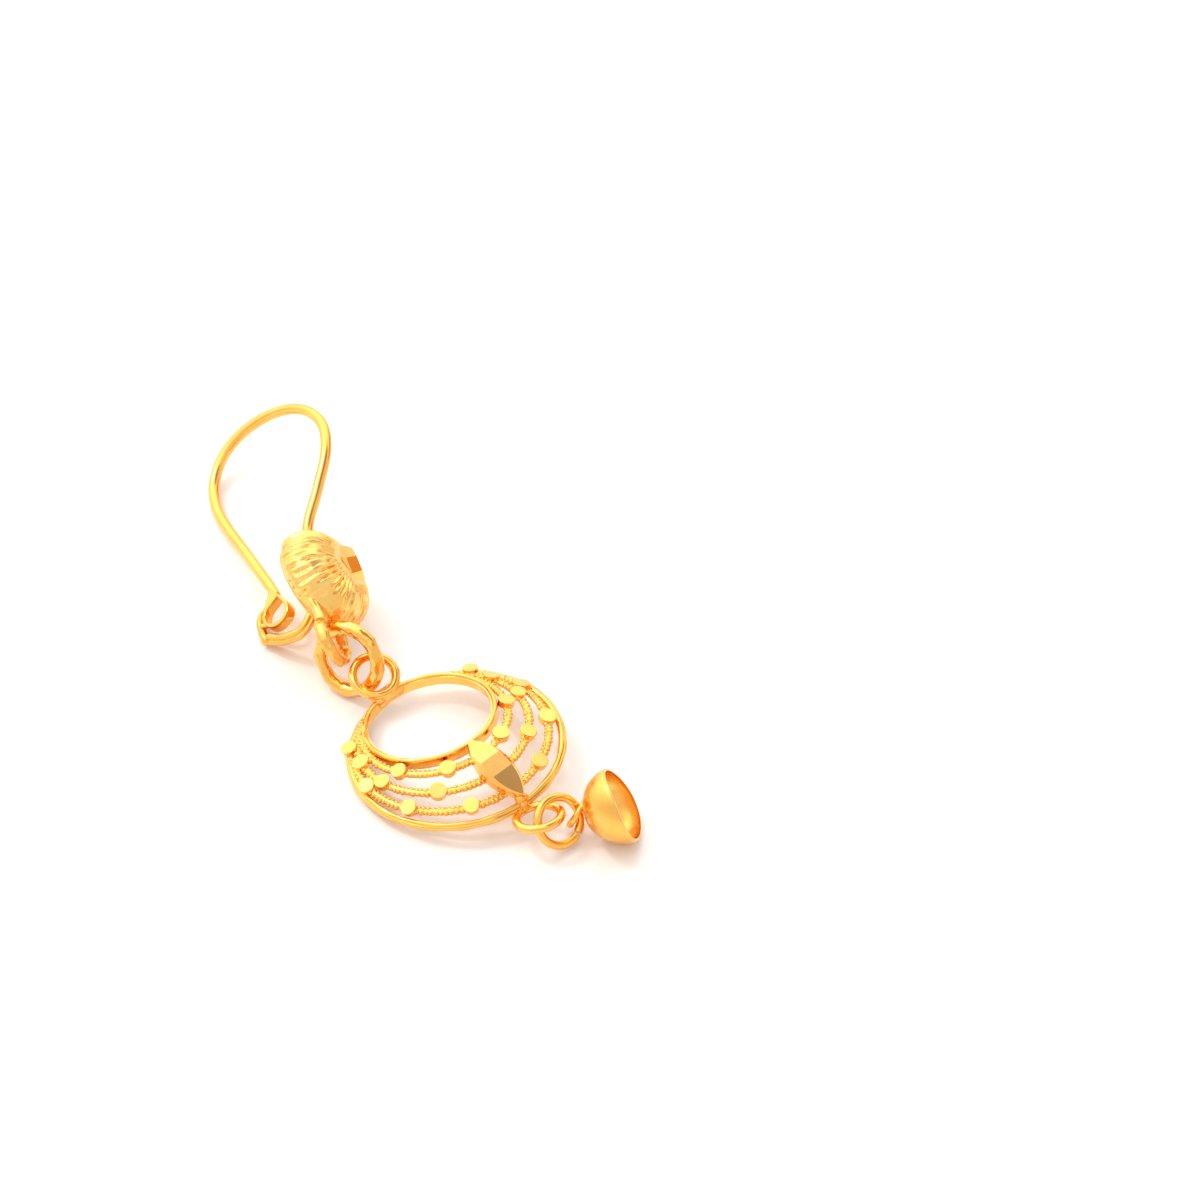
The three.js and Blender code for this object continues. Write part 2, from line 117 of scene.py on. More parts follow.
# The gusset under the flower: how far down, its half width and half depth, and how far to the
# front its middle lies.
GUSSET = [
    {"down": 2.4, "wide": 1.5, "deep": 0.6, "front": 0.0},
    {"down": 3.5, "wide": 1.36, "deep": 0.55, "front": 0.0},
    {"down": 3.9, "wide": 1.1, "deep": 0.5, "front": 0.0},
    {"down": 4.2, "wide": 0.84, "deep": 0.46, "front": 0.02},
    {"down": 4.6, "wide": 0.58, "deep": 0.42, "front": 0.03},
    {"down": 5.1, "wide": 0.43, "deep": 0.37, "front": 0.0},
]
# drop is how far its line sinks to the back for each millimetre down. A corner of 2 is an oval
# section, and more is squarer.
GUSSET_SHAPE = {"drop": 0.11, "corner": 2.1, "sides": 48}
BAIL = {"radius": 1.65, "wire": 0.36, "width": 0.45}
BAIL_AT = {"down": 5.45, "across": 0.04, "front": 0.8, "lean": -8.5, "roll": -9.3}

LINK = {"radius": 2.31, "wire": 0.5}
# Flat cuts on the link: the way each faces round the ring, its tip to the front and its depth.
LINK_CUTS = [
    (185, 24, 0.14), (205, -32, 0.12), (228, 36, 0.17), (244, -12, 0.1), (262, 26, 0.16),
    (288, -26, 0.12), (310, 30, 0.12), (20, 34, 0.12), (48, -30, 0.1),
]

# The crescent lies on a shallow sphere. Its rim is level and its round opening leans.
DOME = {"radius": 18.34, "rise": 1.68}
# The rim wire has a narrow groove along one side. drift is how far apart its deep stretches are.
RIM = {"radius": 7.42, "wire": 0.3, "groove": 0.07, "groove_side": 50, "sharp": 14, "drift": 2}
OPENING = {"radius": 4.62, "lean": 9.08, "wall": 0.42, "height": 0.66}
# The wire along the collar's front edge: how far out of the wall's middle, and how far sunk.
OPENING_WIRE = {"radius": 0.17, "out": 0.05, "sunk": 0.03}
STRANDS = {
    "inner": {"share": 0.19, "ends": 128},
    "middle": {"share": 0.5, "ends": 160},
    "outer": {"share": 0.79, "ends": 122},
}
# A strand is a flat core wire under two staggered rows of beads. uneven is the share by which
# beads vary in size and spacing.
STRAND = {
    "core": 0.21, "flatten": 1.25, "bead": 0.185, "apart": 0.15, "pitch": 0.36, "lift": 0.06,
    "uneven": 0.16,
}
DISC = {
    "radius": 0.57, "taper": 1.08, "height": 0.58, "lift": 0.14, "edge": 0.06, "tilt": 7,
    "uneven": 0.06, "seed": 11,
}
# Each pair of discs: the share of its strand, and its angle either way from the foot.
DISC_PAIRS = [
    (0.19, 27), (0.19, 66), (0.5, 41), (0.5, 82), (0.5, 108),
    (0.79, 26), (0.79, 63), (0.79, 96), (1, 134),
]
MARQUISE = {"length": 5.8, "width": 2.35, "height": 0.95, "border": 0.3, "steps": 20}
MARQUISE_AT = {"x": 4.85, "y": -0.03, "z": 1.78, "turn": 2.9, "pitch": 19, "roll": 0}
# Its flats from the top down: where each begins along the plate, and its slope from the
# plate's own plane.
MARQUISE_CUTS = [
    {"from": -0.75, "slope": -14},
    {"from": -0.75, "slope": -1},
    {"from": 0.6, "slope": 6},
]
MARQUISE_TOP = 0.04  # how far under the plate's top the first two flats meet

TOP_LOOP = {"radius": 1.5, "wire": 0.32}
TOP_LOOP_AT = {"down": -8.58, "across": -0.34, "front": 1.44, "lean": 22.7, "roll": 4.3}
FOOT_LOOP = {"radius": 1.58, "wire": 0.32}
FOOT_LOOP_AT = {"down": 9.25, "across": 0, "front": 0.03, "lean": -13.4, "roll": -6.4}

# The web of solder under the top loop, and lumps of solder at the foot of the rim.
SOLDER_TAB = {
    "down": -7.4, "front": 0.45, "length": 0.9, "width": 1.9, "height": 0.9, "edge": 0.2,
}
SOLDER_LUMPS = [
    {"down": 7.6, "across": 0, "front": 0, "radius": 0.42},
    {"down": 7.25, "across": 0.1, "front": 0.32, "radius": 0.5},
    {"down": -7.3, "across": -1.0, "front": 0.28, "radius": 0.52},
]

JUMP_RING = {"radius": 1.68, "wire": 0.31, "gap": 7}
# mouth is how far the bell's edge lies past its round part, lip its radius there, and wall and
# rim its thickness at the crown and at the edge.
CUP = {
    "radius": 2.76, "wall": 0.28, "rim": 0.12, "mouth": 0.1, "lip": 2.7, "steps": 24, "sides": 120,
}
# The mouth is a little bent: swing is how far its edge goes either way along X.
CUP_WARP = {"swing": 0.16, "way": 130}
CUP_LOOP = {"radius": 0.98, "wire": 0.23}
CUP_LOOP_AT = {"down": -3.31, "across": 0.81, "front": 0.17, "lean": -37, "roll": -29.8}

# How each piece lies: the place of its own origin, then turned about Z, pitched about Y and
# rolled about X, in degrees.
LIE = {
    "hook": {"x": -16.88, "y": -0.41, "z": 4.04, "turn": -30.4, "pitch": 9.6, "roll": -50.9},
    "link": {"x": -10.43, "y": -2.2, "z": 2.63, "turn": 22.2, "pitch": 8.4, "roll": 70.3},
    "pendant": {"x": 0, "y": 0, "z": 1.3, "turn": 5.4, "pitch": -4.15, "roll": 5.6},
    "jump_ring": {"x": 9.96, "y": 2.01, "z": 1.652, "turn": 51.7, "pitch": 41.1, "roll": 34.6},
    "cup": {"x": 11.92, "y": 5.97, "z": 2.78, "turn": 63.5, "pitch": -27, "roll": 0},
}
# Brings the middle of the earring's length and the lowest metal to the origin.
CENTRE = Vector((9.72, -0.06, 0.16))

# Dents left by hand tools: how far apart they are, how deep they may be, and where the
# pattern starts.
DENTS = {
    "eye": {"size": 0.9, "depth": 0.03, "seed": 15},
    "burr": {"size": 0.3, "depth": 0.2, "seed": 17},
    "catch": {"size": 0.8, "depth": 0.06, "seed": 3},
    "flower": {"size": 0.28, "depth": 0.03, "seed": 21},
    "gusset": {"size": 0.9, "depth": 0.04, "seed": 8},
    "bail": {"size": 0.6, "depth": 0.09, "seed": 2},
    "link": {"size": 1.1, "depth": 0.06, "seed": 6},
    "link_fine": {"size": 0.4, "depth": 0.05, "seed": 26},
    "rim": {"size": 1.6, "depth": 0.06, "seed": 9},
    "opening_wire": {"size": 1.2, "depth": 0.05, "seed": 4},
    "top_loop": {"size": 0.9, "depth": 0.05, "seed": 1},
    "foot_loop": {"size": 0.9, "depth": 0.05, "seed": 7},
    "solder": {"size": 0.5, "depth": 0.06, "seed": 12},
    "bell_cup": {"size": 2.2, "depth": 0.06, "seed": 5},
    "bell_cup_loop": {"size": 0.9, "depth": 0.05, "seed": 13},
}

# ---------------------------------------------------------------- shaping helpers


def pose(x, y, z, turn, pitch, roll):
    """Rolled about X, pitched about Y, turned about Z, then moved into place."""
    turned = Euler((radians(roll), radians(pitch), radians(turn)), "XYZ").to_matrix().to_4x4()
    return Matrix.Translation((x, y, z)) @ turned


def loop_place(down, across, front, lean, roll):
    """The place of a soldered loop, rolled about X and then leaning about Y."""
    turned = Matrix.Rotation(radians(lean), 4, "Y") @ Matrix.Rotation(radians(roll), 4, "X")
    return Matrix.Translation((down, across, front)) @ turned


def smooth_path(points, per_span):
    """Points of a smooth curve through the given ones, evenly shaped whatever their spacing."""
    run = [points[0] * 2 - points[1], *points, points[-1] * 2 - points[-2]]
    path = []
    for a, b, c, d in zip(run, run[1:], run[2:], run[3:]):
        before, here, after = (math.sqrt((q - p).length) for p, q in ((a, b), (b, c), (c, d)))
        leave = ((b - a) / before - (c - a) / (before + here) + (c - b) / here) * here
        arrive = ((c - b) / here - (d - b) / (here + after) + (d - c) / after) * here
        path += interpolate_bezier(b, b + leave / 3, c - arrive / 3, c, per_span + 1)[:-1]
    return path + [points[-1]]


def middle_path(stations, per_span):
    return smooth_path([Vector((down, 0, front)) for down, front in stations], per_span)


def station(point, along, across, wide, deep):
    """The frame of a wire's section: wide across the piece and deep square to that."""
    side = across.cross(along).normalized()
    turned = Matrix((side * deep, along.cross(side).normalized() * wide, along.normalized()))
    return Matrix.Translation(point) @ turned.transposed().to_4x4()


def sweep(bm, stations, sides, reach=None):
    """Draws a section through its stations and closes both ends.

    The section is round, or reach gives its outline by angle.
    """
    ring = bmesh.ops.create_circle(bm, segments=sides, radius=1)["verts"]
    if reach:
        for vert in ring:
            vert.co *= reach(math.atan2(vert.co.y, vert.co.x))
    bmesh.ops.transform(bm, matrix=stations[0], verts=ring)
    edges = list({edge for vert in ring for edge in vert.link_edges})
    first = edges
    for before, after in pairwise(stations):
        grown = bmesh.ops.extrude_edge_only(bm, edges=edges)["geom"]
        verts = [item for item in grown if isinstance(item, bmesh.types.BMVert)]
        fresh = set(verts)
        edges = [
            item for item in grown
            if isinstance(item, bmesh.types.BMEdge) and set(item.verts) <= fresh
        ]
        bmesh.ops.transform(bm, matrix=after @ before.inverted(), verts=verts)
    for end in (first, edges):
        bmesh.ops.edgeloop_fill(bm, edges=end)


def wire(bm, path, radius, sides, flatten=1, reach=None):
    """A wire along a path, with rounded ends. radius gives its half width by share of the path."""
    across = Vector((0, 1, 0))
    last = len(path) - 1
    stations = []
    for i, point in enumerate(path):
        along = path[min(i + 1, last)] - path[max(i - 1, 0)]
        size = radius(i / last)
        stations.append(station(point, along, across, size, size * flatten))
    sweep(bm, cap_stations(stations, -1) + stations + cap_stations(stations, 1), sides, reach)


def cap_stations(stations, way, steps=5, least=0.02):
    """Shrinking sections that round off the start (way -1) or the end (way 1) of a wire.

    least keeps the last of them from closing to a point.
    """
    base = stations[-1 if way > 0 else 0]
    size = base.to_scale().y
    caps = []
    for step in range(1, steps + 1):
        angle = math.pi / 2 * step / steps
        shrink = max(math.cos(angle), least)
        ahead = Matrix.Translation((0, 0, way * size * math.sin(angle)))
        caps.append(base @ ahead @ Matrix.Diagonal((shrink, shrink, 1, 1)))
    return caps if way > 0 else caps[::-1]


def torus(bm, radius, wire, width=None, steps=96, sides=24, sweep_angle=math.tau, start=0.0):
    """A ring about Z made by turning a round section, width deep along Z."""
    section = (
        Matrix.Rotation(start, 4, "Z")
        @ Matrix.Translation((radius, 0, 0))
        @ Matrix.Diagonal((wire, 1, width or wire, 1))
        @ Matrix.Rotation(math.pi / 2, 4, "X")
    )
    ring = bmesh.ops.create_circle(bm, segments=sides, radius=1, matrix=section)["verts"]
    edges = list({edge for vert in ring for edge in vert.link_edges})
    whole = sweep_angle == math.tau
    bmesh.ops.spin(
        bm, geom=ring + edges, axis=(0, 0, 1), cent=(0, 0, 0),
        angle=sweep_angle, steps=steps, use_merge=whole,
    )
    if not whole:
        open_ends = [edge for edge in bm.edges if edge.is_boundary]
        bmesh.ops.holes_fill(bm, edges=open_ends)


def turned_shell(bm, profile, axis, steps):
    """Turns an open or closed profile all the way round an axis through the origin."""
    verts = [bm.verts.new(point) for point in profile]
    edges = [bm.edges.new(pair) for pair in pairwise(verts)]
    bmesh.ops.spin(
        bm, geom=verts + edges, axis=axis, cent=(0, 0, 0),
        angle=math.tau, steps=steps, use_merge=True,
    )
    bmesh.ops.remove_doubles(bm, verts=bm.verts, dist=1e-4)


def slice_off(bm, point, normal):
    """Cuts one flat facet: what lies beyond the plane goes, and the cut is closed."""
    cut = bmesh.ops.bisect_plane(
        bm, geom=bm.verts[:] + bm.edges[:] + bm.faces[:], dist=1e-5,
        plane_co=point, plane_no=normal, clear_outer=True,
    )
    edges = [item for item in cut["geom_cut"] if isinstance(item, bmesh.types.BMEdge)]
    if edges:
        bmesh.ops.holes_fill(bm, edges=edges)


def soften(bm, width, angle):
    """Takes the edge off every corner sharper than an angle in degrees."""
    bm.normal_update()
    corners = [
        edge for edge in bm.edges
        if len(edge.link_faces) == 2 and edge.calc_face_angle() > radians(angle)
    ]
    bmesh.ops.bevel(
        bm, geom=corners, offset=width, segments=2, profile=0.5, affect="EDGES", material=-1,
    )


def hammer(bm, size, depth, seed, verts=None):
    """Soft dents, as hand tools leave them, in the whole piece or in some of it."""
    bm.normal_update()
    shift = Vector((seed, seed * 0.7, -seed))
    for vert in verts or bm.verts:
        vert.co += vert.normal * depth * noise.noise(vert.co / size + shift)


def rise(share):
    """0 to 1 with soft ends."""
    share = min(max(share, 0), 1)
    return share * share * (3 - 2 * share)


def piece(name, bm, lie, material, node, local=None, sharp=35):
    """Closes a piece, lays it in the row frame and lets it stand for its CAD node."""
    bmesh.ops.remove_doubles(bm, verts=bm.verts, dist=2e-4)
    bmesh.ops.recalc_face_normals(bm, faces=bm.faces)
    place = Matrix.Scale(MM, 4) @ Matrix.Translation(CENTRE) @ pose(**LIE[lie])
    bmesh.ops.transform(bm, matrix=place @ (local or Matrix.Identity(4)), verts=bm.verts)
    mesh = bpy.data.meshes.new(name)
    bm.to_mesh(mesh)
    bm.free()
    mesh.shade_smooth()
    mesh.set_sharp_from_angle(angle=radians(sharp))
    obj = bpy.data.objects.new(name, mesh)
    bpy.context.scene.collection.objects.link(obj)
    mesh.materials.append(material)
    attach(obj, "root")
    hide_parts(node)


# ---------------------------------------------------------------- materials

TONE_DRIFT = 3.0  # mm over which the alloy's tone wanders
TONE_STOPS = (0.35, 0.65)  # the part of the noise over which it goes from deep to bright
POLISH_STOPS = (0.3, 0.7)  # the part of the noise over which the polish goes from clear to dull


def linear(hex_colour):
    """An sRGB hex colour as linear red, green, blue and alpha."""
    parts = [int(hex_colour[i : i + 2], 16) / 255 for i in (1, 3, 5)]
    return [c / 12.92 if c <= 0.04045 else ((c + 0.055) / 1.055) ** 2.4 for c in parts] + [1]


def add(tree, kind, inputs=(), **settings):
    """Adds a node with its settings, and sets or links its inputs."""
    node = tree.nodes.new(kind)
    for key, value in settings.items():
        setattr(node, key, value)
    for key, value in dict(inputs).items():
        if isinstance(value, bpy.types.NodeSocket):
            tree.links.new(value, node.inputs[key])
        else:
            node.inputs[key].default_value = value
    return node


def worked_gold(name, deep, bright, roughness, spread, grain, height):
    """Gold with a drifting tone, uneven polish and a relief, grain wide and height deep in mm."""
    material = bpy.data.materials.new(name)
    material.use_nodes = True
    tree = material.node_tree
    shader = tree.nodes["Principled BSDF"]
    shader.inputs["Metallic"].default_value = 1
    place = add(tree, "ShaderNodeTexCoord").outputs["Object"]
    drift = add(
        tree, "ShaderNodeTexNoise",
        {"Vector": place, "Scale": 1 / (TONE_DRIFT * MM), "Detail": 2},
    )
    tone = add(tree, "ShaderNodeValToRGB", {"Fac": drift.outputs["Fac"]})
    for stop, position, colour in zip(tone.color_ramp.elements, TONE_STOPS, (deep, bright)):
        stop.position = position
        stop.color = linear(colour)
    tree.links.new(tone.outputs["Color"], shader.inputs["Base Color"])
    fine = add(
        tree, "ShaderNodeTexNoise",
        {"Vector": place, "Scale": 1 / (grain * MM), "Detail": 3},
    )
    clear, dull = POLISH_STOPS
    polish = add(
        tree, "ShaderNodeMapRange",
        {"Value": fine.outputs["Fac"], "From Min": clear, "From Max": dull,
         "To Min": roughness - spread, "To Max": roughness + spread},
    )
    tree.links.new(polish.outputs["Result"], shader.inputs["Roughness"])
    relief = add(
        tree, "ShaderNodeBump",
        {"Height": fine.outputs["Fac"], "Distance": height * MM, "Strength": 1},
    )
    tree.links.new(relief.outputs["Normal"], shader.inputs["Normal"])
    return material


# 22 carat gold wire, drawn and tumbled: clear reflections with faint waviness.
DRAWN_GOLD = worked_gold("drawn_22k_gold_wire", "#F9BC5E", "#FFC768", 0.14, 0.04, 0.5, 0.004)
# 22 carat gold, cut with a diamond tool: flat mirror facets, each with one clear tone.
CUT_GOLD = worked_gold("diamond_cut_22k_gold", "#FFC365", "#FFCB70", 0.1, 0.02, 0.25, 0.0012)
# 22 carat gold, stamped from thin sheet: ribs with soft, slightly grainy flanks.
STAMPED_GOLD = worked_gold("stamped_22k_gold_sheet", "#FBC366", "#FFCF78", 0.24, 0.07, 0.22, 0.008)
# 22 carat gold, rolled bead wire: small bright dots on a satin body.
BEADED_GOLD = worked_gold("milgrain_22k_gold_wire", "#F6B95C", "#FFC868", 0.24, 0.05, 0.2, 0.004)
# Gold solder and worked joints: lumpy and satin, so highlights break up.
SOLDERED_GOLD = worked_gold("soldered_22k_gold", "#F2B055", "#FFC366", 0.27, 0.07, 0.3, 0.02)
# 22 carat gold, spun and burnished: a soft broad sheen on the bell.
SPUN_GOLD = worked_gold("spun_22k_gold_sheet", "#F7B658", "#FFC363", 0.24, 0.05, 0.6, 0.006)

# ---------------------------------------------------------------- ear hook


def ear_wire():
    """A drawn wire from the flower's back over the crown and round to the eye."""

    def radius(share):
        thin = EAR_WIRE["taper"] * rise((share - 1) / EAR_WIRE["last"] + 1)
        return EAR_WIRE["radius"] * (1 - thin)

    bm = bmesh.new()
    wire(bm, middle_path(EAR_WIRE_PATH, EAR_WIRE["steps"]), radius, EAR_WIRE["sides"])
    piece("ear_wire", bm, "hook", DRAWN_GOLD, HOOK)


def teardrop(radius, reach, lean, steps=40):
    """The outline of a round end drawn out to a point, in the piece's middle plane."""
    touch = math.acos(radius / reach)
    arc = [math.pi + touch + (math.tau - 2 * touch) * step / steps for step in range(steps + 1)]
    points = [Vector((-reach, 0, 0))]
    points += [Vector((math.cos(way), 0, math.sin(way))) * radius for way in arc]
    return [Matrix.Rotation(radians(lean), 3, "Y") @ point for point in points]


def wire_eye():
    """The forged end: a flat pierced drop, its hole running across the earring."""
    bm = bmesh.new()
    edges = []
    for outline in EYE_OUTLINES:
        verts = [bm.verts.new(point) for point in teardrop(**outline)]
        edges += [bm.edges.new(pair) for pair in zip(verts, verts[1:] + verts[:1])]
    bmesh.ops.triangle_fill(bm, edges=edges, use_beauty=True)
    bmesh.ops.translate(bm, vec=(0, -EYE["width"] / 2, 0), verts=bm.verts)
    grown = bmesh.ops.extrude_face_region(bm, geom=bm.faces[:])["geom"]
    far = [item for item in grown if isinstance(item, bmesh.types.BMVert)]
    bmesh.ops.translate(bm, vec=(0, EYE["width"], 0), verts=far)
    bmesh.ops.recalc_face_normals(bm, faces=bm.faces)
    soften(bm, EYE["edge"], angle=60)
    hammer(bm, **DENTS["eye"])
    local = Matrix.Translation((EYE["down"], 0, EYE["front"]))
    piece("wire_eye", bm, "hook", DRAWN_GOLD, HOOK, local)


def catch_rod():
    """A grooved rod bent like a J, its end beaten out into a lip behind the eye."""
    groove_side = radians(CATCH["groove_side"])

    def reach(angle):
        return 1 - CATCH["groove"] * max(math.cos(angle - groove_side), 0) ** CATCH["sharp"]

    def lip_radius(share):
        return LIP["wide"] * (1 - (1 - LIP["tip"]) * share**3)

    bm = bmesh.new()
    path = middle_path(CATCH_PATH, CATCH["steps"])
    wire(bm, path, lambda share: CATCH["radius"], CATCH["sides"], reach=reach)
    path = middle_path(LIP_PATH, LIP["steps"])
    wire(bm, path, lip_radius, LIP["sides"], LIP["flatten"])
    down, front = LIP_PATH[0]
    bmesh.ops.create_uvsphere(
        bm, u_segments=20, v_segments=14, radius=CATCH["ball"],
        matrix=Matrix.Translation((down, 0, front)),
    )
    burr = bmesh.ops.create_uvsphere(
        bm, u_segments=20, v_segments=14, radius=BURR["radius"],
        matrix=Matrix.Translation((BURR["down"], BURR["across"], BURR["front"])),
    )["verts"]
    hammer(bm, **DENTS["burr"], verts=burr)
    hammer(bm, **DENTS["catch"])
    piece("catch_rod", bm, "hook", SOLDERED_GOLD, HOOK)


def flower_relief(bm):
    """Lobes round the edge, with worn ribs that run from the cap down to the rim."""
    seat = FLOWER_PROFILE[-1][0]
    for vert in bm.verts:
        reach = math.hypot(vert.co.x, vert.co.y)
        if reach < 1e-3:
            continue
        angle = math.atan2(vert.co.y, vert.co.x)
        outward = reach / FLOWER["radius"]
        lobe = abs(math.cos(FLOWER["lobes"] / 2 * (angle - radians(FLOWER["turn"]))))
        pressed = max(math.cos(angle - radians(FLOWER["dent_way"])), 0) ** FLOWER["dent_sharp"]
        scale = 1 - FLOWER["lobe_depth"] * outward * (1 - lobe) - FLOWER["dent"] * pressed
        share = (reach - seat) / (FLOWER["radius"] - seat)
        wander = noise.noise(vert.co / RIB_WANDER["size"]) * RIB_WANDER["swing"]
        groove = (0.5 + 0.5 * math.cos(RIBS["count"] * angle + wander)) ** RIBS["sharp"]
        patch = noise.noise(vert.co / RIB_WEAR["size"] + Vector((5, 0, 0)))
        wear = rise(RIB_WEAR["left"] + RIB_WEAR["swing"] * patch)
        beside = rise((abs(math.degrees(angle)) - RIB_BARE["half"]) / RIB_BARE["fade"] + 1)
        above = 1 - rise((share - RIB_BARE["begin"]) * RIB_BARE["quick"])
        depth = RIBS["depth"] * groove * wear * max(beside, above) * rise(share * RIBS["start"])
        inward = Vector((vert.co.x, vert.co.y, vert.co.z * RIBS["steep"])).normalized()
        if vert.co.z <= RIBS["lowest"]:
            depth = 0
        vert.co.x *= scale
        vert.co.y *= scale
        vert.co -= inward * depth


def flower_boss():
    """The stamped flower: its half section turned all the way round, then lobed and ribbed."""
    bm = bmesh.new()
    profile = [Vector((radius, 0, front)) for radius, front in FLOWER_PROFILE]
    outline = smooth_path(profile, per_span=6)
    low = Vector((0, 0, FLOWER_PROFILE[0][1]))
    high = Vector((0, 0, FLOWER_PROFILE[-1][1]))
    turned_shell(bm, [low, *outline, high], (0, 0, 1), RIBS["count"] * RIBS["steps"])
    flower_relief(bm)
    hammer(bm, **DENTS["flower"])
    piece("flower_boss", bm, "hook", STAMPED_GOLD, HOOK, FLOWER_PLACE)


def flower_back():
    bm = bmesh.new()
    bmesh.ops.create_cone(
        bm, cap_ends=True, segments=72, radius1=BACK_PLATE["radius"], radius2=BACK_PLATE["radius"],
        depth=BACK_PLATE["thickness"], matrix=Matrix.Translation((0, 0, BACK_PLATE["front"])),
    )
    bmesh.ops.bevel(
        bm, geom=bm.edges[:], offset=BACK_PLATE["edge"], segments=2, profile=0.5,
        affect="EDGES", material=-1,
    )
    piece("flower_back_plate", bm, "hook", SPUN_GOLD, HOOK, FLOWER_PLACE)


def flower_cap():
    """A raised button cut flat on top, with larger flats sloping away from it."""
    bm = bmesh.new()
    height = CAP["table"] + CAP["radius"] - CAP["seat"]
    bmesh.ops.create_cone(
        bm, cap_ends=True, segments=CAP["sides"], radius1=CAP["radius"], radius2=CAP["radius"],
        depth=height, matrix=Matrix.Translation((0, 0, CAP["seat"] + height / 2)),
    )
    turn = Matrix.Rotation(radians(CAP["way"]), 4, "Z")
    table = Matrix.Translation((0, 0, CAP["table"])) @ turn
    table = table @ Matrix.Rotation(radians(CAP["tilt"]), 4, "Y") @ turn.inverted()
    for cut in [{"way": 0, "slope": 0, "out": 0}, *CAP_CUTS]:
        slope, way = radians(cut["slope"]), radians(cut["way"])
        outward = Vector((math.cos(way), math.sin(way), 0))
        normal = outward * math.sin(slope) + Vector((0, 0, math.cos(slope)))
        slice_off(bm, table @ (outward * cut["out"]), table.to_3x3() @ normal)
    soften(bm, CAP["edge"], angle=10)
    piece("flower_cap", bm, "hook", CUT_GOLD, HOOK, FLOWER_PLACE, sharp=8)


def gusset():
    """A smooth gusset that narrows from the flower down to the bail."""
    power = GUSSET_SHAPE["corner"]

    def corner(angle):
        return (abs(math.cos(angle)) ** power + abs(math.sin(angle)) ** power) ** (-1 / power)

    bm = bmesh.new()
    middles = [Vector((row["down"], 0, row["front"])) for row in GUSSET]
    halves = [Vector((row["wide"], row["deep"], row["down"])) for row in GUSSET]
    shape = smooth_path(middles, per_span=5)
    sizes = smooth_path(halves, per_span=5)
    along = Vector((1, 0, -GUSSET_SHAPE["drop"]))
    across = Vector((0, 1, 0))
    stations = [station(point, along, across, size.x, size.y) for point, size in zip(shape, sizes)]
    sweep(bm, stations, GUSSET_SHAPE["sides"], corner)
    hammer(bm, **DENTS["gusset"])
    piece("gusset", bm, "hook", STAMPED_GOLD, HOOK, FLOWER_PLACE)


def bail():
    bm = bmesh.new()
    torus(bm, BAIL["radius"], BAIL["wire"], BAIL["width"], steps=120, sides=24)
    hammer(bm, **DENTS["bail"])
    piece("bail", bm, "hook", SOLDERED_GOLD, HOOK, loop_place(**BAIL_AT))


HOOK = "ear_hook_with_flower_boss"
FLOWER_PLACE = pose(**FLOWER_POSE)
ear_wire()
wire_eye()
catch_rod()
flower_boss()
flower_back()
flower_cap()
gusset()
bail()

# ---------------------------------------------------------------- link ring


def link_ring():
    """A stout wire ring with flat cuts round its outside."""
    bm = bmesh.new()
    torus(bm, LINK["radius"], LINK["wire"], steps=140, sides=32)
    hammer(bm, **DENTS["link"])
    hammer(bm, **DENTS["link_fine"])
    for way, tip, depth in LINK_CUTS:
        turn, slope = radians(way), radians(tip)
        flat = Vector((math.cos(turn), math.sin(turn), 0))
        normal = flat * math.cos(slope) + Vector((0, 0, math.sin(slope)))
        slice_off(bm, flat * LINK["radius"] + normal * (LINK["wire"] - depth), normal)
    piece("link_ring_cut", bm, "link", DRAWN_GOLD, "link_ring")


link_ring()

# ---------------------------------------------------------------- crescent pendant

PENDANT = "crescent_pendant"
RIM_HALF_ANGLE = math.asin(RIM["radius"] / DOME["radius"])
OPENING_HALF_ANGLE = math.asin(OPENING["radius"] / DOME["radius"])
SPHERE_CENTRE = DOME["rise"] - DOME["radius"]


def on_dome(share, angle):
    """A point of that share's strand circle, at an angle from the foot, and the way out there."""
    half = OPENING_HALF_ANGLE + (RIM_HALF_ANGLE - OPENING_HALF_ANGLE) * share
    lean = radians(OPENING["lean"]) * (1 - share)
    turn = radians(angle)
    axis = Vector((-math.sin(lean), 0, math.cos(lean)))
    to_foot = Vector((math.cos(lean), 0, math.sin(lean)))
    side = Vector((0, math.sin(half) * math.sin(turn), 0))
    out = axis * math.cos(half)
    out += to_foot * math.sin(half) * math.cos(turn) + side
    return out * DOME["radius"] + Vector((0, 0, SPHERE_CENTRE)), out


def along_strand(share, angle, near=0.5):
    """The way a strand runs at an angle, from its points near degrees to either side."""
    return on_dome(share, angle + near)[0] - on_dome(share, angle - near)[0]


